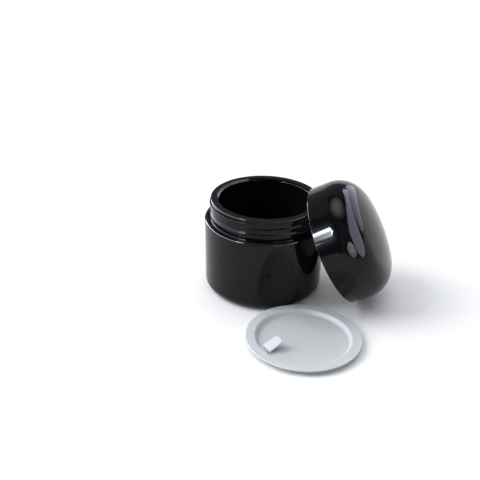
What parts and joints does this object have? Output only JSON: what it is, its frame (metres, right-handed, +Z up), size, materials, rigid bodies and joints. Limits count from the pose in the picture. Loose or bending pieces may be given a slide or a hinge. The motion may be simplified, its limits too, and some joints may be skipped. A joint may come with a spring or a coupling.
{
  "type": "cosmetic cream jar",
  "caption": "Round double-wall cream jar with a threaded neck, a domed screw lid leaning beside it and a dished sealing disc with a pull tab.",
  "frame": {"origin": "middle of the jar's flat base, on the surface it stands on", "axes": "+Z up along the jar's axis, +X towards the leaning lid, the sealing disc lies towards -Y"},
  "size_m": [0.0945, 0.1054, 0.0584],
  "materials": {
    "body_plastic": "polished black",
    "cup_plastic": "polished black, duller inside",
    "lid_plastic": "polished black",
    "cap_plastic": "satin black",
    "liner_foam": "fine foam",
    "disc_plastic": "milky translucent, softly glossy",
    "tab_plastic": "milky white"
  },
  "bodies": {
    "jar": {"outer_shell": "body_plastic", "inner_cup": "cup_plastic"},
    "liner": {"lid_liner": "liner_foam"},
    "lid": {"lid_shell": "lid_plastic", "lid_inner_cap": "cap_plastic"},
    "disc": {"sealing_disc": "disc_plastic"},
    "tab": {"disc_tab": "tab_plastic"}
  },
  "joints": [
    {"name": "lid_swing", "type": "hinge", "parent": "jar", "child": "liner", "pos_m": [-0.00696, 0, 0.01072], "axis": [0, -1, 0], "range_deg": [0, 61]},
    {"name": "lid_turn", "type": "hinge", "parent": "liner", "child": "lid", "pos_m": [0.03514, 0, 0.0261], "axis": [0.8746, 0, 0.4848], "continuous": true},
    {"name": "disc_lift", "type": "slide", "parent": "jar", "child": "disc", "axis": [-0.0594, -0.3368, 0.9397], "range_m": [0, 0.03]},
    {"name": "tab_fold", "type": "hinge", "parent": "disc", "child": "tab", "pos_m": [0.01302, -0.06106, 0.0015], "axis": [0.6428, -0.766, 0], "range_deg": [-26, 60]}
  ]
}
